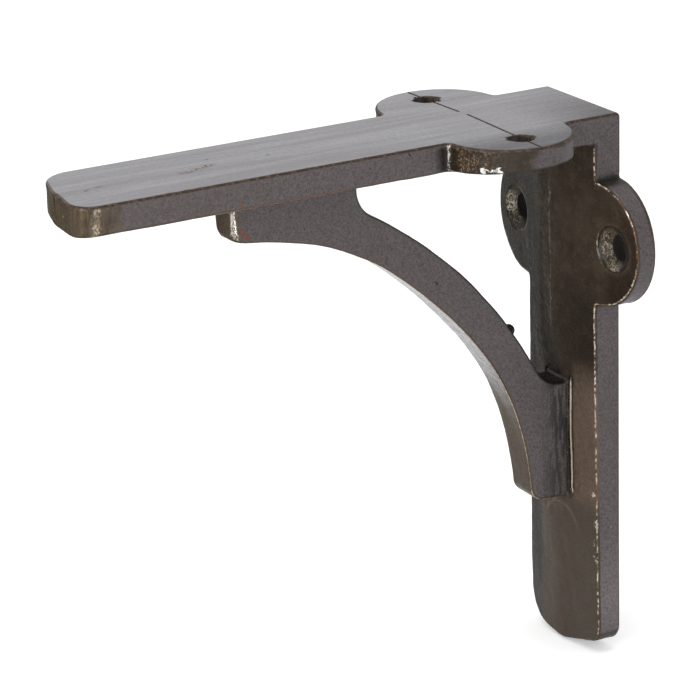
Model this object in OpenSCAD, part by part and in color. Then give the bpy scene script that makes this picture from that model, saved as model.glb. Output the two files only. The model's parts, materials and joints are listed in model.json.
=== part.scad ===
// Shelf bracket, cast in one piece: an arm under the shelf, a plate on the wall
// and a curved brace between them. The mould parts at the middle plane, x = 0.
// Origin: on the wall face, midway between the two wall screws.
// +X to the right, +Y into the wall, +Z up. The arm reaches along -Y.

/* [Arm and wall plate] */
// Width of the arm and of the wall plate
strip_w = 26.8; // [22:0.1:36]
// Length of the arm along its middle line, from the wall face to its tip
arm_len = 125.6; // [105:0.1:180]
// Height of the wall plate, from the shelf face to its lower end
plate_len = 123.9; // [105:0.1:180]
// Thickness of arm and plate along their middle line
mid_t = 7.8; // [6:0.1:10]
// Draft of the inner faces, which fall away from the middle line, in degrees
face_draft = 5.7; // [2:0.1:8]
// Draft of the free ends, which fall away from the middle line, in degrees
end_draft = 3; // [0.5:0.1:6]
// Angle by which the arm's tip is out of square, longer on the right
tip_skew = 10.3; // [0:0.1:12]
// Angle by which the plate's lower end is out of square, longer on the left
plate_skew = 3.7; // [0:0.1:8]
// Radius of the corners at the arm's tip, seen flat on
tip_r = 5.8; // [2:0.1:9]
// Radius of the corners at the plate's lower end, seen flat on
plate_end_r = 6.9; // [2:0.1:9]
// Radius of the outer edge where the shelf face meets the wall face
heel_r = 1; // [0.5:0.1:2]

/* [Ears and screw holes] */
// Radius of each ear, a half disc centred on the edge of its strip
ear_r = 13.9; // [12:0.1:17]
// Distance of the ears and their screws from the outer corner
ear_at = 28.1; // [24:0.1:40]
// Radius of the small fillets between ears and strip
ear_fillet_r = 1.4; // [0.5:0.1:3]
// How far each screw stands outside the edge of its strip
screw_out = 5.6; // [4:0.1:7.5]
// Diameter of the screw holes
hole_d = 5.4; // [4:0.1:6.5]
// Diameter of the countersinks at their mouth
sink_d = 10.2; // [8:0.1:13]
// Angle of the countersinks, across the whole cone, in degrees
sink_angle = 90; // [80:1:100]

/* [Brace] */
// Thickness of the brace
web_t = 8.9; // [6:0.1:14]
// Distance of the brace's nose from the wall face
nose_at = 88.5; // [80:0.1:100]
// Distance of the brace's foot from the shelf face
foot_at = 88.1; // [80:0.1:100]
// Depth of nose and foot, from the outer face of the leaf that they stand on
brace_end_h = 16.1; // [14:0.1:22]
// Lean of nose and foot, which widen towards the leaf, in degrees
end_lean = 5; // [0:0.5:12]
// Length of the brace's root along the arm
arm_root = 29.9; // [22:0.1:34]
// Length of the brace's root along the wall plate
wall_root = 26.6; // [22:0.1:34]
// Depth at which the inner curve meets the arm's root, from the shelf face
arm_shoulder = 13.8; // [11:0.1:16]
// Depth at which it meets the plate's root, from the wall face
wall_shoulder = 13.2; // [11:0.1:16]
// Radius of the outer curve, from nose to foot
outer_r = 79.6; // [72:0.1:110]
// Radius of the inner curve, round the opening
inner_r = 107.5; // [82:0.1:120]
// Radius of the opening's corners, where the inner curve meets the roots
pocket_r = 7.1; // [2:0.1:8]
// Radius of the edges of nose and foot
nose_r = 1.8; // [0.5:0.1:2.8]
// Radius of the fillets along both sides of the roots
root_fillet_r = 2.4; // [1:0.1:4]

/* [Marks of the foundry] */
// Width of the marking-out lines across the shelf face
line_w = 0.6; // [0.3:0.1:1]
// Reach of the right line past the middle plane
right_line_past = 3.5; // [0:0.5:8]
// Distance from the middle plane at which the left line stops
left_line_stop = 9; // [4:0.5:12]
// Angle at which the lines lean towards the arm's tip, in degrees
line_lean = 2; // [0:0.5:4]
// Diameter of the vent pip left on the brace's inner curve
pip_d = 3; // [1:0.1:4]
// Distance of the pip from the middle plane
pip_x = 1.5; // [0:0.1:2.5]
// Place of the pip along the inner curve, from its middle towards the foot
pip_along = 18; // [0:0.1:22]

/* [Hidden] */
$fn = 96;
iron = [0.33, 0.31, 0.31];
clear = 1;

half_w = strip_w / 2;
ear_edge = half_w + ear_r;
slope = tan(face_draft);
screw_x = half_w + screw_out;
shelf_z = ear_at;
lean_w = brace_end_h * tan(end_lean);
sink_face = mid_t - screw_x * slope;
sink_h = (sink_d - hole_d) / 2 / tan(sink_angle / 2);
sink_mouth_r = sink_d / 2 + clear * tan(sink_angle / 2);

// Brace, drawn in the middle plane: u is the distance from the wall face and
// v the distance from the shelf face
arm_window = nose_at - arm_root;
wall_window = foot_at - wall_root;
outer_c = arc_centre([nose_at, brace_end_h], [brace_end_h, foot_at], outer_r);
inner_from = [arm_window, arm_shoulder];
inner_to = [wall_shoulder, wall_window];
inner_c = arc_centre(inner_from, inner_to, inner_r);
pip_turn = pip_along / inner_r * 180 / PI;

// The centre of an arc from p to q with radius r, on the side away from the corner
function arc_centre(p, q, r) =
    let (chord = q - p, rise = sqrt(r * r - chord * chord / 4))
    (p + q) / 2 + rise * [chord.y, -chord.x] / norm(chord);

// A unit vector at an angle
function ray(a) = [cos(a), sin(a)];

// A vector with its two parts exchanged
function swap(p) = [p.y, p.x];

// A fillet that fills the corner between two faces. The circle of radius r
// about c touches one face in the direction n1 and the other in n2.
module fillet_2d(c, n1, n2, r) {
    difference() {
        polygon([c, c + r * n1, c + r * (n1 + n2), c + r * n2]);
        translate(c) circle(r);
    }
}

// A cutter that rounds an edge along z, with the solid on its -x -y side
module edge_cutter(r, h) {
    translate([-r, -r, -clear])
        difference() {
            cube([r + clear, r + clear, h + 2 * clear]);
            translate([0, 0, -clear]) cylinder(r = r, h = h + 4 * clear);
        }
}

// Flat outline of a strip, with its drafted and rounded free end
module strip_2d(len, skew, r) {
    for (s = [0, 1]) mirror([s, 0]) half_strip_2d(len, s == 0 ? end_draft - skew : end_draft + skew, r);
}

// The right half of that outline, with its end falling away at an angle
module half_strip_2d(len, fall, r) {
    c = [half_w - r, len - (half_w - r) * tan(fall) - r / cos(fall)];
    polygon([[-clear, 0], [half_w, 0], [half_w, c.y], c + r * ray(90 - fall), [0, len], [-clear, c.y]]);
    translate(c) circle(r);
}

// Flat outline of one ear, with its fillets to the strip
module ear_2d() {
    r = ear_fillet_r;
    reach = sqrt((ear_r + r) * (ear_r + r) - r * r);
    translate([half_w, ear_at]) {
        circle(ear_r);
        for (s = [-1, 1])
            fillet_2d([r, s * reach], [-1, 0], [-r, -s * reach] / (ear_r + r), r);
    }
}

// Cross section of a leaf: flat outside, drafted both ways inside
module leaf_section_2d() {
    edge_x = ear_edge + clear;
    edge_t = mid_t - edge_x * slope;
    polygon([
        [-edge_x, 0], [edge_x, 0], [edge_x, edge_t], [0, mid_t], [-edge_x, edge_t]
    ]);
}

// Cross section of the fillet between one side of the brace and a leaf
module root_fillet_2d() {
    r = root_fillet_r;
    x = web_t / 2 + r;
    c = [x, mid_t - x * slope + r / cos(face_draft)];
    fillet_2d(c, [-1, 0], -ray(90 - face_draft), r);
}

// A cross section drawn across a leaf, drawn out along it
module along(from, to) {
    translate([0, to, 0])
        rotate([90, 0, 0]) linear_extrude(to - from) children();
}

// One leaf with its ears and its brace's root fillets: x across it, y along it
// from the outer corner, z into it from its flat outer face
module leaf(len, skew, end_r, root_from, root_to) {
    intersection() {
        linear_extrude(mid_t)
            union() {
                strip_2d(len, skew, end_r);
                for (s = [0, 1]) mirror([s, 0]) ear_2d();
            }
        along(0, len + strip_w) leaf_section_2d();
    }
    for (s = [0, 1])
        mirror([s, 0, 0]) along(root_from, root_to) root_fillet_2d();
}

// The two screw holes of a leaf, countersunk from its inner face
module screw_holes() {
    for (s = [-1, 1])
        translate([s * screw_x, ear_at, 0]) {
            translate([0, 0, -clear]) cylinder(d = hole_d, h = mid_t + 2 * clear);
            translate([0, 0, sink_face - sink_h])
                cylinder(r1 = hole_d / 2, r2 = sink_mouth_r, h = sink_h + clear);
        }
}

// One rounded corner of the opening, at the arm's end of the inner curve
module pocket_2d(window, centre) {
    r = pocket_r;
    d = centre.x - window + r;
    drop = sqrt((inner_r + r) * (inner_r + r) - d * d);
    c = [window - r, centre.y - drop];
    fillet_2d(c, [1, 0], [d, drop] / (inner_r + r), r);
}

// Side view of the brace, drawn as u and v
module brace_2d() {
    difference() {
        polygon([
            [0, 0], [nose_at + lean_w, 0], [nose_at - lean_w, 2 * brace_end_h],
            [2 * brace_end_h, foot_at - lean_w], [0, foot_at + lean_w]
        ]);
        translate(outer_c) circle(outer_r, $fn = 240);
        difference() {
            square([arm_window, wall_window]);
            translate(inner_c) circle(inner_r, $fn = 240);
        }
    }
    pocket_2d(arm_window, inner_c);
    mirror([1, -1]) pocket_2d(wall_window, swap(inner_c));
}

// A cutter that rounds the right edge of a leaning nose
module end_edge_cutter(at) {
    translate([web_t / 2, at, brace_end_h])
        rotate([end_lean, 0, 0])
            translate([0, 0, -brace_end_h]) edge_cutter(nose_r, brace_end_h + clear);
}

// The brace as a plate on the middle plane, with x across it, y from the wall
// face and z from the shelf face
module brace() {
    difference() {
        rotate([90, 0, 90])
            linear_extrude(web_t, center = true) brace_2d();
        for (s = [0, 1])
            mirror([s, 0, 0]) {
                end_edge_cutter(nose_at);
                mirror([0, 1, -1]) end_edge_cutter(foot_at);
            }
    }
}

// The pip of a mould vent, on the brace's inner curve
module vent_pip() {
    back = ((inner_from + inner_to) / 2 - inner_c) / norm((inner_from + inner_to) / 2 - inner_c);
    down = [-back.y, back.x];
    p = inner_c + inner_r * (back * cos(pip_turn) - down * sin(pip_turn));
    translate([pip_x, p.x, p.y]) sphere(d = pip_d);
}

// Two marking-out lines cut into the shelf face, one through each screw hole
module marking_lines() {
    side = line_w / sqrt(2);
    for (s = [-1, 1]) {
        inner = s > 0 ? -right_line_past : left_line_stop;
        outer = ear_edge + clear;
        translate([s * screw_x, ear_at, 0])
            rotate([0, 0, s * line_lean])
                translate([s * (outer + inner - 2 * screw_x) / 2, 0, 0])
                    rotate([45, 0, 0]) cube([outer - inner, side, side], center = true);
    }
}

// The whole casting, with y from the wall face and z from the shelf face
module casting() {
    difference() {
        union() {
            leaf(arm_len, tip_skew, tip_r, arm_window, nose_at);
            mirror([0, 1, -1]) leaf(plate_len, -plate_skew, plate_end_r, wall_window, foot_at);
            brace();
            vent_pip();
        }
        screw_holes();
        mirror([0, 1, -1]) screw_holes();
        marking_lines();
        rotate([0, 90, 0])
            mirror([0, 1, 0])
                translate([0, 0, -half_w - clear])
                    edge_cutter(heel_r, strip_w + 2 * clear);
    }
}

module bracket() {
    color(iron)
        translate([0, 0, shelf_z]) rotate([180, 0, 0]) casting();
}

bracket();
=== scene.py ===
import json
import math
from types import SimpleNamespace

import bpy
import numpy as np
from mathutils import Matrix, Vector


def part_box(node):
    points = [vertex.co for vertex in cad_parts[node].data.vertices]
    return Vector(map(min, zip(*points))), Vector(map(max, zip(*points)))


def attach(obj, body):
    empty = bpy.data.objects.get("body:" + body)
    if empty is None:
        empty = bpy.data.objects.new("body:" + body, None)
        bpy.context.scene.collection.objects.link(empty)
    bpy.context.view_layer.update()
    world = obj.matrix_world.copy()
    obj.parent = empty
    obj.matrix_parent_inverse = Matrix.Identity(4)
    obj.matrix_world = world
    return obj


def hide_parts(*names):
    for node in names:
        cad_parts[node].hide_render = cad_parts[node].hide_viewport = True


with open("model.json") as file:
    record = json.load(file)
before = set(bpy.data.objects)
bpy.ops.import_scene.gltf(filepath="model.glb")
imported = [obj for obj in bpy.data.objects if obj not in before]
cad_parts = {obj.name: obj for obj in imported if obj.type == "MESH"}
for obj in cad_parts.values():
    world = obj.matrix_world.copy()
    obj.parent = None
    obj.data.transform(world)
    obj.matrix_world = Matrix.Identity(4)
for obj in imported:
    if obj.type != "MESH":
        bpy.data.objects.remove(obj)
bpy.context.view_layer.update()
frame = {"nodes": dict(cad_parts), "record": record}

# All sizes below are millimetres, and the meshes are turned to metres at the end
MM = 0.001
low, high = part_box("bracket")
mounts = {m["name"]: m for m in frame["record"]["mounts"]}

# Sizes that the casting's solid has too
HALF_W = 13.4
PLATE_LEN = 123.9
SHELF_Z = high.z / MM
MID_T = 7.8
FACE_SLOPE = math.radians(5.7)
HEEL_R = 1.0
EAR_R = 13.9
EAR_AT = SHELF_Z
SCREW_X = mounts["wall_screws"]["dims"]["spacing_x_mm"] / 2
HOLE_R = mounts["wall_screws"]["dims"]["hole_r_mm"]
SINK_R = 5.1
WEB_T = 8.9
NOSE_AT = 88.5
FOOT_AT = 88.1
BRACE_END_H = 16.1
END_LEAN = math.radians(5)
ARM_ROOT = 29.9
WALL_ROOT = 26.6
ARM_SHOULDER = 13.8
WALL_SHOULDER = 13.2
OUTER_R = 79.6
INNER_R = 107.5
POCKET_R = 7.1
TIP_FALLS = (math.radians(13.3), math.radians(-7.3), 0.2)
TIP_RADII = (5.8, 5.8, 1.4)
RIGHT_LINE_PAST = 3.5
LINE_LEAN = math.radians(2)
PIP_R = 1.5
PIP_X = 1.5
PIP_ALONG = 18.0

# Sizes read closer from the photo than the solid has them
ARM_LEN = 125.4
NOSE_R = 3.3
FOOT_R = 1.2
END_EDGE_R = 2.6
PLATE_FALLS = (math.radians(7), math.radians(15), 2.5)
PLATE_RADII = (7.5, 3.0, 0.5)
HEEL_WIDER = 0.45
HEEL_THICKER = 0.25
EAR_THINNER = 0.35
END_THINNER = 0.8
ROOT_FILLET_R = 1.3
LINE_W = 0.5
LEFT_LINE_STOP = 6.5
LIP_R = 0.34

# Small accidents of the casting: the brace a little left of the middle, and its
# lower curve flatter at the ends and in the middle than a true arc
WEB_X = -0.24
UNDER_WAVE = 0.42

# How far the casting's edges are rounded
FACE_EDGE_R = 0.6
INNER_EDGE_R = 0.9
BRACE_EDGE_R = 0.8
CORNER_FILLET_R = 0.8
SMALL_FILLET_R = 0.5
CROWN = 3.0

# Depth of the casting's waviness, in waves about 11 and 3.5 mm long
WAVE_FAR = 0.16
WAVE_NEAR = 0.05

# How finely the casting is meshed: on the flat, on rounded edges and at small marks
BASE_MESH = 0.85
EDGE_MESH = 0.32
MARK_MESH = 0.2


def round_meet(a, b, r):
    """Two half spaces cut by each other, with the edge between them rounded."""
    return np.minimum(np.maximum(a, b), -r) + np.hypot(np.maximum(a + r, 0), np.maximum(b + r, 0))


def round_join(a, b, r):
    """Two solids joined, with a fillet where they meet."""
    return -round_meet(-a, -b, r)


def arc_centre(p, q, r):
    """The centre of an arc from p to q, on the side away from the bracket's corner."""
    chord = q - p
    rise = math.sqrt(r * r - chord @ chord / 4)
    return (p + q) / 2 + rise * np.array([chord[1], -chord[0]]) / math.hypot(*chord)


ARM_WINDOW = NOSE_AT - ARM_ROOT
WALL_WINDOW = FOOT_AT - WALL_ROOT
outer_c = arc_centre(np.array([NOSE_AT, BRACE_END_H]), np.array([BRACE_END_H, FOOT_AT]), OUTER_R)
inner_from = np.array([ARM_WINDOW, ARM_SHOULDER])
inner_to = np.array([WALL_SHOULDER, WALL_WINDOW])
inner_c = arc_centre(inner_from, inner_to, INNER_R)


def outline(x, along, length, falls, radii):
    """A leaf seen flat on: its strip with the rounded end, and its two ears.
    The end falls away from its middle by one angle on the left and one on the right,
    after a soft middle. The radii are those of its two corners and of the ears' fillets."""
    share = 0.5 + 0.5 * np.tanh(x / 3)
    fall = falls[0] + (falls[1] - falls[0]) * share
    end_r = radii[0] + (radii[1] - radii[0]) * share
    end = (along - length) * np.cos(fall) + (np.hypot(x, falls[2]) - falls[2]) * np.sin(fall)
    half = HALF_W + HEEL_WIDER * np.clip((16 - along) / 3, 0, 1)
    strip = round_meet(np.abs(x) - half, end, end_r)
    ear = np.hypot(np.abs(x) - HALF_W, along - EAR_AT) - EAR_R
    return round_join(strip, ear, radii[2])


def inner_t(x):
    """A leaf's thickness, which falls away from a soft crown on the middle line."""
    return MID_T - np.hypot(x, CROWN) * math.tan(FACE_SLOPE)


def plate_thins(x, v):
    """How much thinner the plate is than inner_t, below 0 where it is thicker."""
    right = 0.5 + 0.5 * np.tanh(x / 6)
    low_down = END_THINNER * right * np.clip((v - 45) / 75, 0, 1)
    at_heel = HEEL_THICKER * np.clip((20 - v) / 10, 0, 1)
    on_right_ear = EAR_THINNER * np.clip((x - 14) / 4, 0, 1)
    return low_down - at_heel + on_right_ear


def leaf(x, along, depth, length, falls, radii):
    inner = (depth - inner_t(x)) * math.cos(FACE_SLOPE)
    return round_meet(outline(x, along, length, falls, radii), inner, INNER_EDGE_R)


def inner_corner(x, u, v):
    """The small fillet between the arm's underside and the plate."""
    c = inner_t(x) + CORNER_FILLET_R
    fill = np.maximum(np.maximum(u, v) - c, CORNER_FILLET_R - np.hypot(u - c, v - c))
    return round_meet(np.abs(x) - HALF_W, fill, INNER_EDGE_R)


def pocket(window, p, q, centre):
    """One rounded corner of the opening: where it holds, and its distance."""
    d = centre[0] - window + POCKET_R
    drop = math.sqrt((INNER_R + POCKET_R) ** 2 - d * d)
    cu, cv = window - POCKET_R, centre[1] - drop
    nu, nv = d / (INNER_R + POCKET_R), drop / (INNER_R + POCKET_R)
    ru, rv = p - cu, q - cv
    inside = (rv > 0) & (ru * nv - rv * nu > 0)
    return inside, np.hypot(ru, rv) - POCKET_R


def opening(u, v):
    """The opening between arm, plate and brace, seen from the side."""
    d = np.maximum(u - ARM_WINDOW, v - WALL_WINDOW)
    d = np.maximum(d, INNER_R - np.hypot(u - inner_c[0], v - inner_c[1]))
    for args in ((ARM_WINDOW, u, v, inner_c), (WALL_WINDOW, v, u, inner_c[::-1])):
        inside, corner = pocket(*args)
        d = np.where(inside, corner, d)
    return d


def under_curve(u, v):
    """Distance past the brace's lower curve, from nose to foot."""
    du, dv = u - outer_c[0], v - outer_c[1]
    nose_turn = math.atan2(BRACE_END_H - outer_c[1], NOSE_AT - outer_c[0])
    foot_turn = math.atan2(FOOT_AT - outer_c[1], BRACE_END_H - outer_c[0])
    way = np.arctan2(dv, du)
    part = np.clip((nose_turn - way) / (nose_turn - foot_turn), 0, 1)
    return OUTER_R - UNDER_WAVE * np.cos(4 * math.pi * part) - np.hypot(du, dv)


def brace(x, u, v):
    lean_u, lean_v = math.cos(END_LEAN), math.sin(END_LEAN)
    nose = (u - NOSE_AT) * lean_u + (v - BRACE_END_H) * lean_v
    foot = (v - FOOT_AT) * lean_u + (u - BRACE_END_H) * lean_v
    side = np.abs(x - WEB_X) - WEB_T / 2
    ends, under = np.maximum(nose, foot), under_curve(u, v)
    end_r = np.where(u > v, NOSE_R, FOOT_R)
    edge_r = BRACE_EDGE_R + (end_r - BRACE_EDGE_R) * np.clip((ends - under) / 4 + 0.8, 0, 1)
    solid = round_meet(round_meet(ends, under, END_EDGE_R), side, edge_r)
    return round_meet(solid, round_meet(-opening(u, v), side, BRACE_EDGE_R), BRACE_EDGE_R)


def root_lip(x, u, v):
    """The raised line of lacquer where the brace's sides run out on the plate."""
    across = np.abs(x - WEB_X) - WEB_T / 2 - 0.55
    line = np.hypot(across, u - inner_t(x) + plate_thins(x, v) + 0.05) - LIP_R
    return round_meet(line, np.maximum(WALL_WINDOW - 1 - v, v - FOOT_AT + 1.4), 0.3)


def marking_lines(x, along, depth):
    """The two marking-out grooves of the shelf face, as the solid that they take away."""
    grooves = []
    far = EAR_R + HALF_W + 1
    for side, near in ((1, -RIGHT_LINE_PAST), (-1, LEFT_LINE_STOP)):
        dx, dy = side * x - SCREW_X, along - EAR_AT
        reach = dx * math.cos(LINE_LEAN) + dy * math.sin(LINE_LEAN) + SCREW_X
        across = dy * math.cos(LINE_LEAN) - dx * math.sin(LINE_LEAN)
        wedge = (np.abs(across) + np.maximum(depth, 0) - LINE_W / 2) * math.sqrt(0.5)
        grooves.append(np.maximum(wedge, np.maximum(near - reach, reach - far)))
    return np.minimum(*grooves)


def screw_hole(x, along, depth):
    """A countersunk hole, as the solid that it takes away."""
    rho = np.hypot(np.abs(x) - SCREW_X, along - EAR_AT)
    face = MID_T - SCREW_X * math.tan(FACE_SLOPE)
    cone = (rho - SINK_R + (face - depth)) * math.sqrt(0.5)
    return np.where(depth < MID_T + 1, np.minimum(rho - HOLE_R, cone), EAR_R)


def pip(x, u, v):
    """The stump of a mould vent on the brace's inner curve."""
    mid = (inner_from + inner_to) / 2 - inner_c
    back = mid / np.hypot(*mid)
    down = np.array([-back[1], back[0]])
    turn = PIP_ALONG / INNER_R
    p = inner_c + INNER_R * (back * math.cos(turn) - down * math.sin(turn))
    return np.sqrt((x - PIP_X) ** 2 + (u - p[0]) ** 2 + (v - p[1]) ** 2) - PIP_R


def ripple(p, size, seed):
    """Smooth random waves about size millimetres long, from 0 to 1."""
    rng = np.random.default_rng(seed)
    ways = rng.normal(size=(3, 7))
    ways *= 2 * math.pi / size / np.linalg.norm(ways, axis=0) * rng.uniform(0.6, 1.5, 7)
    return np.clip(0.5 + np.sin(p @ ways + rng.uniform(0, 2 * math.pi, 7)).sum(1) / 7, 0, 1)


def casting(p):
    """Distance from the casting's surface, negative inside, for points in millimetres.
    u is the distance from the wall face and v the distance from the shelf face."""
    x, u, v = p[:, 0], -p[:, 1], SHELF_Z - p[:, 2]
    arm = leaf(x, u, v, ARM_LEN, TIP_FALLS, TIP_RADII)
    plate = leaf(x, v, u + plate_thins(x, v), PLATE_LEN, PLATE_FALLS, PLATE_RADII)
    d = np.minimum(np.minimum(arm, plate), inner_corner(x, u, v))
    beside = np.clip((np.abs(x - WEB_X) - WEB_T / 2 + 1) / 1.5, 0, 1)
    beside = beside * (1 - np.clip((u - NOSE_AT) / 2, 0, 1)) * (1 - np.clip((v - FOOT_AT) / 2, 0, 1))
    fillet = SMALL_FILLET_R + (ROOT_FILLET_R - SMALL_FILLET_R) * beside
    d = round_join(d, brace(x, u, v), fillet)
    d = round_join(d, pip(x, u, v), 0.3)
    d = round_join(d, root_lip(x, u, v), 0.15)
    off_ground = np.clip(np.minimum(u, v) - 0.6, 0, 1)
    d = d + off_ground * (WAVE_FAR * ripple(p, 11, 1) + WAVE_NEAR * ripple(p, 3.5, 2))
    d = round_meet(d, round_meet(-u, -v, HEEL_R), FACE_EDGE_R)
    holes = np.minimum(screw_hole(x, u, v), screw_hole(x, v, u))
    return np.maximum(round_meet(d, -holes, 0.2), -marking_lines(x, u, v))


def slope_of(shape, p, step=0.02):
    """The shape's value and gradient at each point."""
    value = shape(p)
    grad = np.empty_like(p)
    for i in range(3):
        shift = np.zeros(3)
        shift[i] = step
        grad[:, i] = (shape(p + shift) - shape(p - shift)) / (2 * step)
    return value, grad


def settle(shape, p, rounds=3, most=0.4):
    """Moves points onto the shape's surface."""
    for _ in range(rounds):
        value, grad = slope_of(shape, p)
        move = value / np.maximum((grad**2).sum(1), 0.2)
        p = p - np.clip(move, -most, most)[:, None] * grad
    return p


def edges_of(tris):
    """The edges of a triangle mesh, and each triangle's three edge numbers."""
    pairs = np.sort(tris[:, [[0, 1], [1, 2], [2, 0]]].reshape(-1, 2), axis=1)
    edges, which = np.unique(pairs, axis=0, return_inverse=True)
    return edges, which.reshape(-1, 3)


def refine(p, tris, target):
    """Splits the edges that are longer than the target length at their middle."""
    edges, which = edges_of(tris)
    span = np.linalg.norm(p[edges[:, 0]] - p[edges[:, 1]], axis=1)
    split = span > 1.45 * np.minimum(target[edges[:, 0]], target[edges[:, 1]])
    middle = np.full(len(edges), -1)
    middle[split] = len(p) + np.arange(split.sum())
    p = np.vstack([p, p[edges[split]].mean(1)])
    m = middle[which]
    count = (m >= 0).sum(1)
    parts = [tris[count == 0]]
    for turn in range(3):
        a, b, c = (tris[:, (turn + i) % 3] for i in range(3))
        ab, bc, ca = (m[:, (turn + i) % 3] for i in range(3))
        one = (count == 1) & (ab >= 0)
        parts += [np.c_[a, ab, c][one], np.c_[ab, b, c][one]]
        two = (count == 2) & (ca < 0)
        parts += [np.c_[ab, b, bc][two], np.c_[a, ab, bc][two], np.c_[a, bc, c][two]]
    a, b, c = tris.T
    full = count == 3
    parts += [np.c_[a, m[:, 0], m[:, 2]][full], np.c_[m[:, 0], b, m[:, 1]][full]]
    parts += [np.c_[m[:, 2], m[:, 1], c][full], m[full]]
    return p, np.vstack(parts)


def relax(shape, p, tris, rounds):
    """Evens out the triangles while their corners stay on the surface."""
    edges, _ = edges_of(tris)
    both = np.vstack([edges, edges[:, ::-1]])
    links = np.bincount(both[:, 0], minlength=len(p))[:, None]
    for _ in range(rounds):
        total = np.stack([np.bincount(both[:, 0], p[both[:, 1], i], len(p)) for i in range(3)], 1)
        p = settle(shape, p + 0.5 * (total / links - p), rounds=2)
    return p


def bend_of(shape, p, reach):
    """How the surface bends round each point: above 0 on an edge, below 0 in a corner."""
    total = -6 * shape(p)
    for i in range(3):
        for side in (-reach, reach):
            shift = np.zeros(3)
            shift[i] = side
            total += shape(p + shift)
    return total / reach


def fine_places(p):
    """Where the mesh has to be fine for small marks: the grooves and the lip."""
    x, u, v = p[:, 0], -p[:, 1], SHELF_Z - p[:, 2]
    return (marking_lines(x, u, v) < 0.45) & (v < 0.7) | (root_lip(x, u, v) < 0.3)


def first_mesh():
    """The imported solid, remeshed evenly, as points in millimetres and triangles."""
    copy = frame["nodes"]["bracket"].copy()
    copy.data = copy.data.copy()
    copy.parent = None
    bpy.context.scene.collection.objects.link(copy)
    remesh = copy.modifiers.new("remesh", "REMESH")
    remesh.mode = "VOXEL"
    remesh.voxel_size = BASE_MESH * MM
    shaped = copy.evaluated_get(bpy.context.evaluated_depsgraph_get()).to_mesh()
    shaped.calc_loop_triangles()
    p = np.empty(len(shaped.vertices) * 3)
    shaped.vertices.foreach_get("co", p)
    tris = np.empty(len(shaped.loop_triangles) * 3, int)
    shaped.loop_triangles.foreach_get("vertices", tris)
    bpy.data.objects.remove(copy)
    return p.reshape(-1, 3) / MM, tris.reshape(-1, 3)


def build_casting():
    p, tris = first_mesh()
    p = settle(casting, p)
    p = relax(casting, p, tris, 3)
    for _ in range(3):
        bend = np.abs(bend_of(casting, p, 0.5))
        target = np.where(bend > 0.25, EDGE_MESH, BASE_MESH)
        target[fine_places(p)] = MARK_MESH
        p, tris = refine(p, tris, target)
        p = settle(casting, p)
    p = relax(casting, p, tris, 2)
    mesh = bpy.data.meshes.new("bracket_casting")
    mesh.vertices.add(len(p))
    mesh.vertices.foreach_set("co", (p * MM).astype(np.float32).ravel())
    mesh.loops.add(3 * len(tris))
    mesh.loops.foreach_set("vertex_index", tris.astype(np.int32).ravel())
    mesh.polygons.add(len(tris))
    mesh.polygons.foreach_set("loop_start", np.arange(0, 3 * len(tris), 3, dtype=np.int32))
    mesh.update(calc_edges=True)
    mesh.validate()
    mesh.polygons.foreach_set("use_smooth", np.ones(len(tris), bool))
    hollow = np.clip(-bend_of(casting, p, 0.35) / 0.4, 0, 1).astype(np.float32)
    mesh.attributes.new("hollow", "FLOAT", "POINT").data.foreach_set("value", hollow)
    return bpy.data.objects.new("bracket_casting", mesh)


def add_camera():
    """The photograph's viewpoint, fitted to the straight edges that it shows."""
    place = (0.60906986, -0.40023807, 0.22234006)
    side = Vector((0.49615826, 0.86782681, -0.02652563))
    up = Vector((-0.26974108, 0.18311324, 0.94536199))
    data = bpy.data.cameras.new("camera")
    data.lens = 180
    data.sensor_width = 36
    data.clip_end = 50
    camera = bpy.data.objects.new("camera", data)
    turn = Matrix((side, up, side.cross(up))).transposed().to_4x4()
    camera.matrix_world = Matrix.Translation(place) @ turn
    bpy.context.scene.collection.objects.link(camera)
    bpy.context.scene.camera = camera


def add_area(name, place, target, size, power):
    """A soft rectangular light. One that faces straight up or down is turned as it lies."""
    data = bpy.data.lights.new(name, "AREA")
    data.shape = "RECTANGLE"
    data.size, data.size_y = size
    data.energy = power
    light = bpy.data.objects.new(name, data)
    way = Vector(target) - Vector(place)
    turn = way.to_track_quat("-Z", "Y").to_matrix().to_4x4()
    if abs(way.z) > 0.9 * way.length:
        turn = Matrix.Rotation(math.atan2(-place[0], place[1]), 4, "Z") @ Matrix.Rotation(math.pi, 4, "Y")
        turn = turn if way.z > 0 else Matrix.Identity(4)
    light.matrix_world = Matrix.Translation(place) @ turn
    light.visible_camera = False
    bpy.context.scene.collection.objects.link(light)


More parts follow.
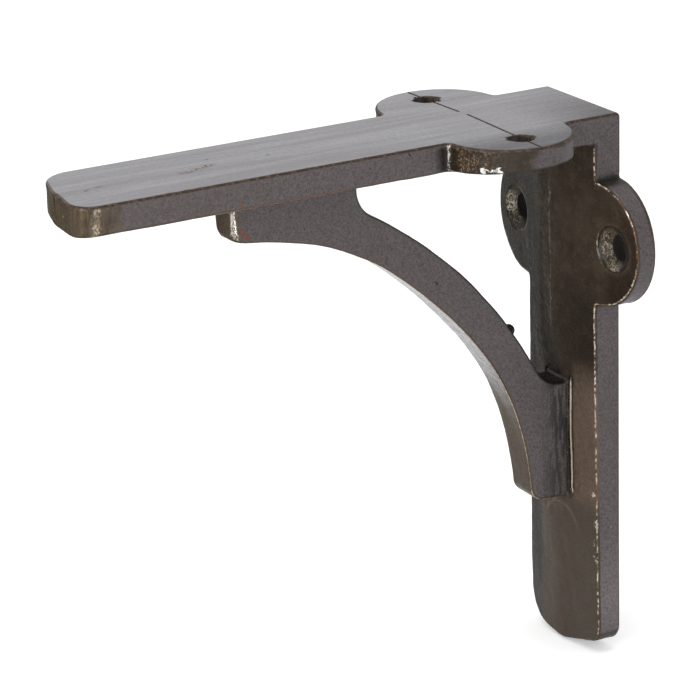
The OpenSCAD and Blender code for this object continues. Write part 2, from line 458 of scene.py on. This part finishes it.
class Nodes:
    """A short way to write a node tree."""

    def __init__(self, tree):
        self.tree = tree

    def add(self, kind, inputs=(), **settings):
        node = self.tree.nodes.new("ShaderNode" + kind)
        for key, value in settings.items():
            setattr(node, key, value)
        for key, value in dict(inputs).items():
            self.put(node.inputs[key], value)
        return node

    def put(self, socket, value):
        if isinstance(value, bpy.types.NodeSocket):
            self.tree.links.new(value, socket)
        elif isinstance(value, tuple) and len(value) == 3 and socket.type == "RGBA":
            socket.default_value = (*value, 1)
        else:
            socket.default_value = value

    def math(self, operation, a, b=0.0):
        return self.add("Math", {0: a, 1: b}, operation=operation).outputs[0]

    def times(self, *values):
        result = values[0]
        for value in values[1:]:
            result = self.math("MULTIPLY", result, value)
        return result

    def most(self, *values):
        result = values[0]
        for value in values[1:]:
            result = self.math("MAXIMUM", result, value)
        return result

    def less(self, value):
        return self.math("SUBTRACT", 1.0, value)

    def band(self, value, rise_from, rise_to, fall_from, fall_to):
        """1 between rise_to and fall_from, falling to 0 on both sides."""
        return self.times(self.span(value, rise_from, rise_to), self.span(value, fall_from, fall_to, 1, 0))

    def spot(self, where, place, radius, stretch=(1, 1, 1)):
        """A soft spot about a place of the casting, given as x, u and v in millimetres."""
        x, u, v = place
        centre = (x * MM, -u * MM, (SHELF_Z - v) * MM)
        off = self.add("VectorMath", {0: where, 1: centre}, operation="SUBTRACT").outputs[0]
        size = tuple(1 / (radius * MM * s) for s in stretch)
        off = self.add("VectorMath", {0: off, 1: size}, operation="MULTIPLY").outputs[0]
        away = self.add("VectorMath", {0: off}, operation="LENGTH").outputs["Value"]
        return self.span(away, 0.6, 1.0, 1, 0)

    def spots(self, where, places, radius, stretch=(1, 1, 1)):
        return self.most(*(self.spot(where, place, radius, stretch) for place in places))

    def mask(self, name):
        return self.add("Attribute", attribute_name=name).outputs["Fac"]

    def mix(self, fac, a, b):
        """Colour a where fac is 0, colour b where it is 1."""
        return self.add("Mix", {"Factor": fac, 6: a, 7: b}, data_type="RGBA").outputs[2]

    def blend(self, fac, a, b):
        """Number a where fac is 0, number b where it is 1."""
        return self.add("Mix", {"Factor": fac, 2: a, 3: b}, data_type="FLOAT").outputs[0]

    def span(self, value, low, high, to_low=0.0, to_high=1.0):
        """From to_low at low to to_high at high, and level outside. The ends are cut by two
        Math nodes, because a clamp on so many Map Range nodes is too much for the renderer."""
        inputs = {"Value": value, "From Min": low, "From Max": high, "To Min": to_low, "To Max": to_high}
        result = self.add("MapRange", inputs, clamp=False).outputs[0]
        result = self.math("MAXIMUM", result, min(to_low, to_high))
        return self.math("MINIMUM", result, max(to_low, to_high))

    def length(self, a, b):
        """The length of the flat vector (a, b)."""
        flat = self.add("CombineXYZ", {0: a, 1: b}).outputs[0]
        return self.add("VectorMath", {0: flat}, operation="LENGTH").outputs["Value"]

    def noise(self, where, size, detail=2.0, rough=0.5, stretch=(1, 1, 1), move=(0, 0, 0)):
        """Noise whose lumps are about size millimetres across."""
        scale = tuple(s / (size * MM) for s in stretch)
        place = self.add("Mapping", {"Vector": where, "Scale": scale, "Location": move}).outputs[0]
        inputs = {"Vector": place, "Scale": 1.0, "Detail": detail, "Roughness": rough}
        return self.add("TexNoise", inputs).outputs["Fac"]

    def bump(self, height, depth, normal=None):
        inputs = {"Height": height, "Strength": 1.0, "Distance": depth * MM}
        if normal is not None:
            inputs["Normal"] = normal
        return self.add("Bump", inputs).outputs[0]


def add_world():
    world = bpy.data.worlds.new("studio")
    bpy.context.scene.world = world
    world.use_nodes = True
    sky = world.node_tree.nodes["Background"]
    sky.inputs["Color"].default_value = (1, 1, 1, 1)
    sky.inputs["Strength"].default_value = 0.9


def add_floor():
    """A pale floor. Metal sees it shaded off to dark in front of the bracket."""
    mesh = bpy.data.meshes.new("floor")
    r, z = 6.0, low.z - 0.0002
    mesh.from_pydata([(-r, -r, z), (r, -r, z), (r, r, z), (-r, r, z)], [], [(0, 1, 2, 3)])
    floor = bpy.data.objects.new("floor", mesh)
    bpy.context.scene.collection.objects.link(floor)
    material = bpy.data.materials.new("floor")
    material.use_nodes = True
    floor.data.materials.append(material)
    n = Nodes(material.node_tree)
    surface = material.node_tree.nodes["Principled BSDF"]
    surface.inputs["Specular IOR Level"].default_value = 0.0
    ray = n.add("LightPath")
    depth = n.add("SeparateXYZ", {0: n.add("TexCoord").outputs["Object"]}).outputs[1]
    shade = n.mix(n.span(depth, -0.09, 0.03), (0.05, 0.05, 0.05), (0.9, 0.9, 0.9))
    n.put(surface.inputs["Base Color"], n.mix(ray.outputs["Is Glossy Ray"], (0.8, 0.8, 0.8), shade))
    surface.inputs["Emission Color"].default_value = (1, 1, 1, 1)
    n.put(surface.inputs["Emission Strength"], n.math("MULTIPLY", ray.outputs["Is Camera Ray"], 0.3))


def add_lamps():
    """A tall soft light before the arm's end, a low one that shines up at the brace, and one above."""
    aim = (0, -0.05, 0)
    add_area("strip", place=Vector((0.33, -0.87, 0.1)), target=aim, size=(0.12, 0.7), power=6)
    low_place = Vector((0.27, -0.19, -0.085))
    add_area("low_strip", low_place, low_place + Vector((0, 0, 1)), size=(0.1, 0.36), power=0.6)
    add_area("top", place=(0.1, -0.2, 0.9), target=aim, size=(0.6, 0.6), power=4)


def line_reach(n, where, side):
    """Distance in millimetres from one marking-out line, large where the line has stopped."""
    at = n.add("SeparateXYZ", {0: where})
    dx = n.math("MULTIPLY_ADD", at.outputs[0], side / MM)
    dx.node.inputs[2].default_value = -SCREW_X
    dy = n.math("MULTIPLY_ADD", at.outputs[1], -1 / MM)
    dy.node.inputs[2].default_value = -EAR_AT
    along_y = n.math("MULTIPLY", dy, math.cos(LINE_LEAN))
    across = n.math("SUBTRACT", along_y, n.math("MULTIPLY", dx, math.sin(LINE_LEAN)))
    stop = (-RIGHT_LINE_PAST if side > 0 else LEFT_LINE_STOP) - SCREW_X
    past = n.math("SUBTRACT", stop, dx)
    return n.most(n.math("ABSOLUTE", across), past)


# Small marks on the casting, as x, u and v in millimetres
TOP_SCRATCHES = [(1.8, 119.3, 0), (0.8, 116.3, 0)]
TOP_PITS = [(-4.4, 89.1, 0), (-0.3, 77, 0)]
TOP_STAINS = [(1.8, 96.9, 0), (-0.2, 90.9, 0), (1.0, 93.5, 0)]
SIDE_PITS = [(13.4, 51.4, 1.2), (3.9, 40.1, 33.5), (24.8, 36.1, 4.1)]
EAR_CHIPS = [(21.9, 39.0, 4.6), (23.1, 37.9, 4.5), (24.3, 36.6, 4.3)]
EAR_SPECKS = [(22.2, 38.8, 3.4), (24.9, 36.0, 3.6)]
RUST_SPECKS = [(4.2, 86.2, 15.4), (4.2, 84.6, 15.0), (4.2, 81.2, 15.6), (4.2, 85.5, 13.8), (13.2, 91, 5.2)]
EDGE_SPECKS = [(12.3, 6.1, 86.4), (12.6, 6.0, 93), (12.2, 6.0, 97.5), (12.5, 5.9, 100.6)]
# The pale marks: chips on the plate's near edge, and painted highlights on the arm's end
PALE_SPECKS = [(13.4, 3.6, 101.6), (13.4, 2.4, 94), (13.4, 4.2, 109), (4.1, 126, 3.9), (13, 123.5, 4.5)]


def look_round(n):
    """Each point's place on the casting in millimetres, how it faces, and the noises there.
    x runs across, u away from the wall and v down from the shelf."""
    coords = n.add("TexCoord")
    where = coords.outputs["Object"]
    at = n.add("SeparateXYZ", {0: where})
    v = n.math("MULTIPLY_ADD", at.outputs[2], -1 / MM)
    v.node.inputs[2].default_value = SHELF_Z
    x = n.math("MULTIPLY", at.outputs[0], 1 / MM)
    facing = n.add("SeparateXYZ", {0: coords.outputs["Normal"]})
    return SimpleNamespace(
        where=where,
        x=x,
        u=n.math("MULTIPLY", at.outputs[1], -1 / MM),
        v=v,
        wide=n.math("ABSOLUTE", x),
        side=n.math("ABSOLUTE", facing.outputs[0]),
        front=n.math("MULTIPLY", facing.outputs[1], -1.0),
        rise=facing.outputs[2],
        hollow=n.mask("hollow"),
        mottle=n.noise(where, 6, 4),
        blotch=n.noise(where, 2.2, 3, 0.6, move=(5, 2, 1)),
        grain=n.noise(where, 0.45, 2, 0.6),
        fine=n.noise(where, 0.42, 3, 0.75, stretch=(1, 1, 0.7), move=(2, 9, 4)),
        specks=n.noise(where, 0.9, 2, 0.5, move=(3, 1, 2)),
        dots=n.noise(where, 0.6, 1, 0.5, move=(6, 6, 2)),
        dashes=n.noise(where, 1.6, 3, 0.7, move=(1, 7, 4)),
        streaks=n.noise(where, 1.3, 4, 0.65, stretch=(1, 0.04, 1)),
        bands=n.noise(where, 5, 3, 0.6, stretch=(1, 0.09, 1), move=(0, 3, 8)),
        drips=n.noise(where, 0.9, 3, 0.65, stretch=(1, 1, 0.16)),
    )


def find_skins(n, p):
    """Adds to p which skin the casting has where. What is left over is brown lacquer."""
    u, v, wide, rise = p.u, p.v, p.wide, p.rise
    p.top = n.times(n.span(rise, 0.93, 0.99), n.span(v, 0.1, 0.3, 1, 0))
    back = n.times(n.span(p.front, -0.99, -0.93, 1, 0), n.span(u, 0.1, 0.3, 1, 0))
    p.ground = n.most(p.top, back)
    p.on_arm = n.span(v, 8, 9, 1, 0)
    p.on_plate = n.span(u, 8.4, 8.6, 1, 0)
    p.on_ear = n.times(p.on_plate, n.span(v, 8.5, 9))

    frayed = n.math("ADD", p.front, n.span(p.blotch, 0.3, 0.7, -0.12, 0.12))
    arm_ear = n.times(n.span(wide, 14, 17), p.on_arm)
    frayed = n.math("ADD", frayed, n.times(n.most(n.span(u, 80, 84), arm_ear), 0.16))
    tilt = n.times(n.math("ABSOLUTE", rise), n.most(n.span(u, 8.0, 8.6), n.span(v, 114, 118)))
    brown_end = n.math("ADD", u, n.span(p.blotch, 0.3, 0.7, -1.6, 1.6))
    p.flank = n.times(n.span(frayed, 0.12, 0.42, 1, 0), n.span(tilt, 0.12, 0.4, 1, 0), n.less(p.ground))
    p.flank = n.times(p.flank, n.span(p.hollow, 0.3, 0.9, 1, 0), n.span(brown_end, 117, 119, 1, 0.1))

    p.in_web = n.times(n.span(wide, 5.2, 5.8, 1, 0), n.span(u, 8.6, 9.4), n.span(v, 8.6, 9.4))
    p.under = n.times(p.in_web, n.span(p.side, 0.2, 0.5, 1, 0), n.span(rise, -0.5, -0.3, 1, 0))
    p.under = n.times(p.under, n.span(u, 81, 85, 1, 0))

    p.below = n.math("SUBTRACT", v, EAR_AT)
    p.right_of = n.math("SUBTRACT", p.x, n.math("MULTIPLY", n.math("SIGN", p.x), SCREW_X))
    p.from_screw = n.length(n.math("SUBTRACT", wide, SCREW_X), p.below)
    p.sink = n.times(p.on_ear, n.span(p.from_screw, 4.8, 5.1, 1, 0), n.span(p.from_screw, 2.78, 2.86))
    p.bore = n.times(p.on_ear, n.span(p.from_screw, 2.8, 2.88, 1, 0))


def brown_lacquer(n, p):
    x, u, v = p.x, p.u, p.v
    colour = n.mix(n.span(p.mottle, 0.35, 0.65), (0.025, 0.018, 0.012), (0.036, 0.026, 0.018))
    colour = n.mix(n.span(p.blotch, 0.5, 0.72), colour, (0.042, 0.030, 0.020))
    shade = n.times(n.band(v, 33, 44, 54, 62), n.span(x, -4, 6), n.span(u, 20, 22, 1, 0))
    colour = n.mix(n.times(shade, 0.6), colour, (0.012, 0.009, 0.007))
    # Painted light: the lacquer is lighter on the plate below the brace's window and on the arm away from the
    # wall, where more light reaches it
    open_air = n.most(n.span(v, 56, 64), n.span(u, 20, 40))
    colour = n.mix(n.times(open_air, n.span(v, 84, 94, 0.75, 0.5)), colour, (0.066, 0.050, 0.035))
    # Painted light: lighter, speckled brown on the plate beside the brace's foot, where light bounces off the
    # brace's side
    beside_foot = n.times(n.band(v, 56, 64, 86, 92), n.span(x, 4.5, 6), n.span(p.specks, 0.42, 0.58, 0.5, 1))
    colour = n.mix(beside_foot, colour, (0.088, 0.062, 0.046))
    colour = plate_zones(n, p, colour)
    colour = rubbed_ends(n, p, colour)
    # Painted shade: the lacquer goes near black in the casting's hollows
    return n.mix(n.times(p.hollow, 0.85), colour, (0.012, 0.0085, 0.006))


def plate_zones(n, p, colour):
    """What shows on the plate's face: a cool far strip and a darker near one, both painted reflections, a
    painted highlight in an arch, and a thin lighter line.
    """
    x, v = p.x, p.v
    face = n.span(p.u, 8.5, 9, 1, 0)
    # Painted reflection: a cool strip down the plate's far side, darker lower down
    far_strip = n.mix(n.span(v, 50, 70), (0.048, 0.046, 0.041), (0.024, 0.024, 0.023))
    far_zone = n.times(n.span(x, -8.4, -7.2, 1, 0), n.span(v, 9, 10), face)
    colour = n.mix(n.times(far_zone, 0.75), colour, far_strip)
    # Painted reflection: a darker strip on the plate's near side below the foot
    near_zone = n.times(n.span(x, 1.5, 3.5), n.span(v, 88, 91), face)
    colour = n.mix(n.times(near_zone, 0.75), colour, (0.046, 0.036, 0.027))
    # Painted highlight in an arch near the plate's lower end
    arch = n.length(n.math("SUBTRACT", x, 0.2), n.times(n.math("SUBTRACT", v, 98.0), 0.9))
    arch = n.times(n.band(arch, 5.8, 6.2, 6.4, 6.9), n.span(v, 94, 97, 1, 0), face, 0.3)
    colour = n.mix(arch, colour, (0.13, 0.105, 0.08))
    # A thin lighter line on the plate's face above the brace
    seam = n.math("ADD", x, n.span(p.blotch, 0.3, 0.7, 2.4, 3.4))
    seam = n.times(n.band(seam, -0.3, -0.1, 0.1, 0.3), n.span(v, 16, 19), n.span(v, 48, 54, 1, 0))
    return n.mix(n.times(seam, n.span(p.specks, 0.42, 0.52)), colour, (0.11, 0.095, 0.075))


def rubbed_ends(n, p, colour):
    """The arm's rusty ears and brown end, and silvery painted highlights down the rounded corners of the end
    and the brace's nose and in the fillets by the ears.
    """
    u, wide, front = p.u, p.wide, p.front
    ear = n.times(n.span(wide, 13.4, 14.2), p.on_arm)
    rusty = n.times(ear, n.span(p.fine, 0.5, 0.56), n.span(front, 0.5, 0.97, 0.1, 1))
    rusty = n.times(rusty, n.span(p.blotch, 0.4, 0.55, 0.35, 1))
    colour = n.mix(ear, colour, (0.020, 0.014, 0.009))
    colour = n.mix(rusty, colour, (0.15, 0.10, 0.058))
    tip = n.mix(n.span(p.drips, 0.4, 0.6), (0.036, 0.026, 0.015), (0.078, 0.056, 0.032))
    colour = n.mix(n.times(n.span(u, 110, 118), n.span(p.mottle, 0.4, 0.6)), colour, tip)
    # Painted highlights: silvery lines down the rounded corners of the arm's end and the brace's nose, and in
    # the fillet by the arm's ear, made metallic there too
    tip_line = n.times(n.span(u, 112, 114), n.band(front, 0.06, 0.14, 0.24, 0.36), n.span(p.x, 5, 6))
    tip_line = n.times(tip_line, n.span(p.blotch, 0.40, 0.54, 0.2, 0.75))
    nose_line = n.times(n.band(u, 82, 84, 90, 92), n.span(p.v, 8, 8.5), n.band(front, 0.36, 0.46, 0.72, 0.8))
    nose_line = n.times(nose_line, n.span(p.x, 0, 1), n.span(p.rise, -0.5, -0.2))
    ear_line = n.times(n.band(u, 40.9, 41.5, 43, 43.6), n.band(wide, 13, 13.2, 14.4, 15))
    ear_line = n.times(ear_line, n.band(front, 0.45, 0.58, 0.7, 0.82))
    p.polish = n.times(n.most(tip_line, nose_line, ear_line), n.span(p.fine, 0.44, 0.54))
    silver = n.mix(n.span(u, 100, 110), (0.85, 0.80, 0.72), (0.50, 0.40, 0.28))
    return n.mix(p.polish, colour, silver)


def grey_side(n, p):
    """The satin sides. The colours are twice as light as they show, and light dims them."""
    u, v = p.u, p.v
    colour = n.mix(n.span(p.grain, 0.3, 0.7), (0.118, 0.100, 0.102), (0.204, 0.178, 0.182))
    colour = n.mix(n.span(p.dots, 0.66, 0.74), colour, (0.090, 0.072, 0.068))
    off_plate = n.most(n.span(u, 8, 14, 0, 1.13), n.times(n.span(u, 12, 14), n.span(v, 50, 80, 1.0, 1.3)))
    down_plate = n.most(n.span(v, 20, 112, 0.84, 1.3), n.times(n.band(v, 43, 46, 52, 60), 1.16))
    light = n.most(off_plate, down_plate, n.span(v, 92, 110, 1.1, 1.85))
    return n.mix(n.times(light, 0.5), (0.0, 0.0, 0.0), colour)


def ground_face(n, p):
    """The ground top and back, streaked along the arm. fade dims colours as light does on the sides: painted
    light across the arm. heel_dark is painted shade towards the heel, more on the near side.
    """
    x = p.x
    dull = (0.34, 0.32, 0.33)
    colour = n.mix(n.span(p.streaks, 0.3, 0.7), (0.41, 0.40, 0.42), (0.60, 0.59, 0.62))
    colour = n.mix(n.span(p.bands, 0.42, 0.68, 0, 0.5), colour, dull)
    colour = n.mix(n.span(p.grain, 0.35, 0.7, 0, 0.45), colour, dull)
    stain = n.times(n.spots(p.where, TOP_STAINS, 1.5, (0.6, 1.5, 1)), n.span(p.dots, 0.46, 0.54), p.top)
    colour = n.mix(stain, colour, (0.20, 0.09, 0.05))
    fade = n.times(n.span(x, -24, 12, 0.63, 0.57), n.span(x, 12, 22, 1.0, 0.42))
    colour = n.mix(fade, (0.0, 0.0, 0.0), colour)
    # Painted shade: darker towards the heel, more on the near side
    heel_dark = n.times(n.span(x, -10, 13, 0.15, 0.85), n.span(p.u, 4, 20, 1, 0))
    colour = n.mix(heel_dark, colour, (0.07, 0.064, 0.066))
    fringe = n.math("ADD", p.wide, n.span(p.blotch, 0.3, 0.7, -0.5, 0.35))
    fringe = n.times(n.span(fringe, 12.7, 13.1), n.span(p.u, 42, 44), n.span(p.grain, 0.4, 0.52))
    return n.mix(n.times(fringe, 0.8), colour, (0.055, 0.034, 0.025))


def brace_underside(n, p):
    """Bare and silvery under the brace, browner towards its foot."""
    colour = n.mix(n.span(p.drips, 0.35, 0.65), (0.34, 0.34, 0.35), (0.54, 0.54, 0.55))
    return n.mix(n.span(p.v, 52, 70), colour, (0.10, 0.085, 0.065))


def countersink(n, p):
    """Dark, with bright grains that are brightest on the left wall as painted light, and painted glints low
    and left in the near one and left in the far one.
    """
    right_of, below = p.right_of, p.below
    colour = n.mix(n.span(p.blotch, 0.35, 0.65), (0.011, 0.0085, 0.006), (0.030, 0.024, 0.016))
    # Bright grains: the iron's grain, made strongest on the left wall as painted light
    grains = n.times(n.span(p.fine, 0.5, 0.58), n.span(right_of, -1.5, 1, 1, 0.12))
    grains = n.times(grains, n.span(p.from_screw, 4.3, 4.8, 1, 0.1), 0.9)
    colour = n.mix(grains, colour, (0.17, 0.135, 0.09))
    # Painted glints: highlights on the cone's wall
    low_glint = n.times(n.span(below, 2.6, 3.6), n.band(right_of, -2.4, -1, 1.2, 2.4))
    left_glint = n.times(n.span(right_of, -3.4, -2.6, 1, 0), n.span(below, -2.5, 2.5, 0.35, 0))
    near_glint = n.times(n.most(low_glint, left_glint), n.span(p.x, 0, 1), 0.5)
    far_glint = n.times(n.span(right_of, -3, -1.5, 1, 0), n.band(below, -3.5, -2, 1, 2.5))
    far_glint = n.times(far_glint, n.span(p.x, -1, 0, 1, 0))
    glint = n.times(n.most(near_glint, far_glint), n.span(p.fine, 0.44, 0.58))
    return n.mix(glint, colour, (0.48, 0.42, 0.33))


def black_places(n, p, colour):
    """Painted shade, near black: in the bores, on the ledges of the plate's ears, in the corners beside the
    arm's ears, on the right ear round its countersink, and above the brace's foot.
    """
    u, v, wide, rise = p.u, p.v, p.wide, p.rise
    # Painted shade: the bores are near black inside
    colour = n.mix(p.bore, colour, (0.008, 0.006, 0.005))
    # Painted shade on the ledges at the top and bottom of the plate's ears
    upper = n.times(n.span(rise, 0.25, 0.6), n.band(v, 11, 13, 18, 19), n.band(wide, 13, 13.3, 16.5, 18))
    lower = n.times(n.span(rise, -0.6, -0.25, 1, 0), n.band(v, 38, 39.5, 44, 45), n.span(u, 3, 8, 0, 0.6))
    p.ledge = n.most(n.times(upper, p.on_plate), n.times(lower, p.on_ear))
    colour = n.mix(n.times(p.ledge, 0.9), colour, (0.010, 0.008, 0.006))
    # Painted shade in the corner beside the arm's ear, except on its painted highlight
    by_ear = n.times(n.band(u, 40.2, 40.8, 43.6, 45.6), n.band(wide, 13, 13.2, 15.2, 16.4))
    by_ear = n.times(by_ear, n.band(v, 0.6, 1.2, 8, 9), n.less(p.polish))
    colour = n.mix(n.times(by_ear, 0.9), colour, (0.013, 0.009, 0.006))
    # Painted shade on the right ear's face, round its countersink towards the edge, darker where it faces
    # forward
    right_ear = n.times(n.span(p.from_screw, 5.6, 6.4), n.span(p.x, 16, 19), n.span(v, 20, 24))
    right_ear = n.times(right_ear, n.span(p.front, 0.7, 0.9), n.span(u, 8, 8.4, 1, 0))
    colour = n.mix(n.times(right_ear, 0.7), colour, (0.014, 0.009, 0.006))
    # Painted shade in the pocket: black on the brace's shoulder and on the plate just above it
    shoulder = n.times(n.band(v, 55, 59, 62, 62.6), n.band(u, 7.4, 7.9, 13, 15))
    shoulder = n.times(shoulder, n.span(wide, 4.6, 5.6, 1, 0), n.span(rise, -0.1, 0.3))
    above = n.times(n.band(v, 56, 61, 62, 63), n.span(u, 7.2, 8.2, 1, 0))
    above = n.times(above, n.span(wide, 4.5, 6.5, 1, 0), n.span(p.blotch, 0.4, 0.6, 0.5, 1))
    p.black = n.times(n.most(shoulder, above), n.less(p.ground))
    return n.mix(n.times(p.black, 0.92), colour, (0.008, 0.006, 0.005))


def wrinkles(n, p, colour):
    """Wrinkled lacquer beside the brace's root on the plate, with painted glints on the wrinkles."""
    p.wrinkle = n.times(n.span(p.wide, 3.5, 4.2), n.span(p.wide, 4.6, 5, 1, 0), n.span(p.u, 11, 13.2, 1, 0))
    p.wrinkle = n.times(p.wrinkle, n.span(p.v, 59, 62), n.span(p.v, 88, 88.6, 1, 0), n.less(p.ground))
    colour = n.mix(n.times(p.wrinkle, n.span(p.drips, 0.43, 0.52)), colour, (0.006, 0.005, 0.004))
    # Painted glints: small white highlights on the wrinkles
    return n.mix(n.times(p.wrinkle, n.span(p.fine, 0.64, 0.72)), colour, (0.22, 0.22, 0.22))


def worn_lines(n, p, colour):
    """Dark rims round the ground faces, thin worn lines along edges, and a painted highlight along the
    lacquer's lip.
    """
    u, v, wide, specks = p.u, p.v, p.wide, p.specks
    p.rim = n.times(n.most(n.span(v, 0.8, 1.2, 1, 0), n.span(u, 0.8, 1.2, 1, 0)), n.less(p.ground))
    p.rim = n.times(p.rim, n.span(n.most(p.rise, n.math("MULTIPLY", p.front, -1.0)), 0.1, 0.35))
    rim_brown = n.mix(n.span(specks, 0.5, 0.62), (0.028, 0.018, 0.012), (0.065, 0.04, 0.027))
    colour = n.mix(p.rim, colour, rim_brown)

    shifted = n.math("ADD", p.front, n.span(p.blotch, 0.3, 0.7, -0.05, 0.05))
    edge = n.times(n.band(shifted, 0.68, 0.78, 0.87, 0.93), n.span(u, 7.9, 8.1, 1, 0), n.span(v, 7, 7.5))
    edge = n.times(edge, n.span(wide, 9, 10), n.span(p.from_screw, 6, 7))
    sink_line = n.times(n.band(p.from_screw, 4.75, 4.85, 5.1, 5.2), p.on_ear, 0.75)
    colour = n.mix(sink_line, colour, (0.010, 0.008, 0.006))
    sink_rim = n.times(n.band(p.from_screw, 5.15, 5.2, 5.3, 5.4), p.on_ear)
    sink_rim = n.times(sink_rim, n.span(p.right_of, -2, 2, 0.6, 0.1), n.span(v, 27, 30, 1, 0.2))
    # Painted highlight along the lacquer's lip beside the brace's root, made metallic there too
    p.lip = n.times(n.band(n.math("SUBTRACT", p.x, WEB_X), 4.78, 4.9, 5.12, 5.24), n.span(v, 61, 62.5))
    p.lip = n.times(p.lip, n.span(v, 87.2, 87.8, 1, 0), n.span(u, 8.1, 8.4, 1, 0))
    p.lip = n.times(p.lip, n.span(p.dashes, 0.3, 0.5, 0.3, 1), n.less(p.ground))
    # Worn edges and rims, with the lip's painted highlight, turn gold below
    p.worn = n.most(n.times(n.most(edge, sink_rim), n.span(p.dashes, 0.42, 0.5)), p.lip)

    gold = n.mix(n.span(specks, 0.42, 0.58), (0.17, 0.10, 0.06), (0.60, 0.51, 0.39))
    reddish = n.mix(n.span(specks, 0.42, 0.58), (0.06, 0.026, 0.014), (0.16, 0.075, 0.036))
    gold = n.mix(n.times(n.band(v, 20, 22, 30, 32), n.span(wide, 14, 15)), gold, reddish)
    colour = n.mix(n.times(edge, 0.3), colour, (0.02, 0.014, 0.01))
    colour = n.mix(p.worn, colour, gold)
    web_edge = n.times(n.band(p.side, 0.3, 0.42, 0.55, 0.66), n.span(p.rise, -0.2, -0.05, 1, 0), p.in_web)
    web_edge = n.times(web_edge, n.span(u, 78, 82, 1, 0), n.span(specks, 0.40, 0.5, 0.35, 0.9))
    # Pale: a worn line along the brace's lower edges, and the lip's painted highlight
    return n.mix(n.most(web_edge, p.lip), colour, (0.46, 0.38, 0.29))


def small_marks(n, p, colour):
    """Chips, pits, scratches, rust specks, white marks on the arm's ear, painted highlights on the arm's end
    and the marking-out lines.
    """
    shake = n.add("TexNoise", {"Vector": p.where, "Scale": 1100.0}).outputs["Color"]
    shake = n.add("VectorMath", {0: shake, 1: (0.5, 0.5, 0.5)}, operation="SUBTRACT").outputs[0]
    shake = n.add("VectorMath", {0: shake, "Scale": 0.0022}, operation="SCALE").outputs[0]
    shaken = n.add("VectorMath", {0: p.where, 1: shake}, operation="ADD").outputs[0]

    low_edge = n.times(n.span(p.v, 5.95, 6.1), n.span(p.v, 6.35, 6.5, 1, 0), n.span(p.wide, 12.2, 12.8))
    low_edge = n.times(low_edge, n.span(p.u, 60, 66), n.span(p.u, 90, 98, 1, 0), n.span(p.dashes, 0.42, 0.52))
    colour = n.mix(low_edge, colour, (0.12, 0.052, 0.038))
    rust = n.times(n.spots(shaken, RUST_SPECKS, 0.75), n.span(p.dots, 0.45, 0.52))
    colour = n.mix(rust, colour, (0.15, 0.05, 0.03))
    # White marks on the arm's ear rim
    p.chip = n.times(n.spots(shaken, EAR_CHIPS, 0.95, (1, 1, 0.65)), n.span(p.dots, 0.36, 0.44))
    colour = n.mix(p.chip, colour, (0.52, 0.52, 0.50))
    colour = n.mix(n.times(n.spots(shaken, EAR_SPECKS, 0.4), n.less(p.chip)), colour, (0.17, 0.07, 0.03))
    # Pale specks on the plate's edge, and painted highlights on the arm's end
    speck = n.most(n.spots(shaken, EDGE_SPECKS, 0.8, (1, 1, 1.4)), n.spots(shaken, PALE_SPECKS, 0.32))
    colour = n.mix(n.times(speck, n.span(p.specks, 0.5, 0.56)), colour, (0.36, 0.34, 0.30))

    pit = n.most(n.spots(shaken, SIDE_PITS, 0.55), n.spots(shaken, TOP_PITS, 0.5, (0.7, 1.6, 1)))
    pit = n.most(pit, n.spots(shaken, TOP_SCRATCHES, 1.5, (0.16, 0.8, 1)))
    grooves = [n.span(line_reach(n, p.where, side), 0.24, 0.36, 1, 0) for side in (1, -1)]
    p.dark = n.most(pit, n.times(n.most(*grooves), n.span(p.v, 0.4, 0.6, 1, 0), 0.75))
    return n.mix(p.dark, colour, (0.016, 0.012, 0.010))


def iron():
    """The casting's finish: each skin's colour, then its marks, then how metallic and rough it is."""
    material = bpy.data.materials.new("iron")
    material.use_nodes = True
    n = Nodes(material.node_tree)
    shader = material.node_tree.nodes["Principled BSDF"]
    shader.inputs["Specular IOR Level"].default_value = 0.22
    p = look_round(n)
    find_skins(n, p)
    colour = n.mix(p.flank, brown_lacquer(n, p), grey_side(n, p))
    colour = n.mix(p.ground, colour, ground_face(n, p))
    colour = n.mix(p.under, colour, brace_underside(n, p))
    colour = n.mix(p.sink, colour, countersink(n, p))
    colour = black_places(n, p, colour)
    colour = wrinkles(n, p, colour)
    colour = worn_lines(n, p, colour)
    colour = small_marks(n, p, colour)
    n.put(shader.inputs["Base Color"], colour)

    bare = n.most(n.times(p.worn, 0.45), n.times(p.sink, 0.25), n.times(p.under, 0.8), n.times(p.polish, 0.7))
    bare = n.most(bare, n.times(p.lip, 0.6))
    metal = n.most(n.times(p.flank, 0.6), n.times(p.ground, 0.75), bare)
    dull = n.most(p.chip, p.dark, p.rim, p.bore, p.ledge, p.black, n.times(p.wrinkle, 0.9))
    n.put(shader.inputs["Metallic"], n.times(metal, n.less(dull)))
    satin = n.span(p.blotch, 0.3, 0.7, 0.2, 0.32)
    lacquered = n.span(p.specks, 0.3, 0.7, 0.38, 0.48)
    rough = n.blend(n.most(p.flank, p.ground), satin, lacquered)
    rough = n.blend(n.most(p.bore, n.times(p.sink, 0.4)), rough, 0.8)
    on_arm_ear = n.times(n.span(p.wide, 15, 18), p.on_arm, n.less(p.ground))
    n.put(shader.inputs["Roughness"], n.blend(on_arm_ear, rough, 0.5))
    lumps = n.times(n.math("ADD", p.blotch, n.times(p.wrinkle, p.drips)), n.less(p.ground))
    n.put(shader.inputs["Normal"], n.bump(lumps, 0.12, n.bump(p.grain, 0.05)))
    return material


bpy.context.scene.view_settings.view_transform = "Standard"
add_camera()
add_world()
add_floor()
add_lamps()
piece = build_casting()
bpy.context.scene.collection.objects.link(piece)
piece.data.materials.append(iron())
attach(piece, "root")
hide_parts("bracket")
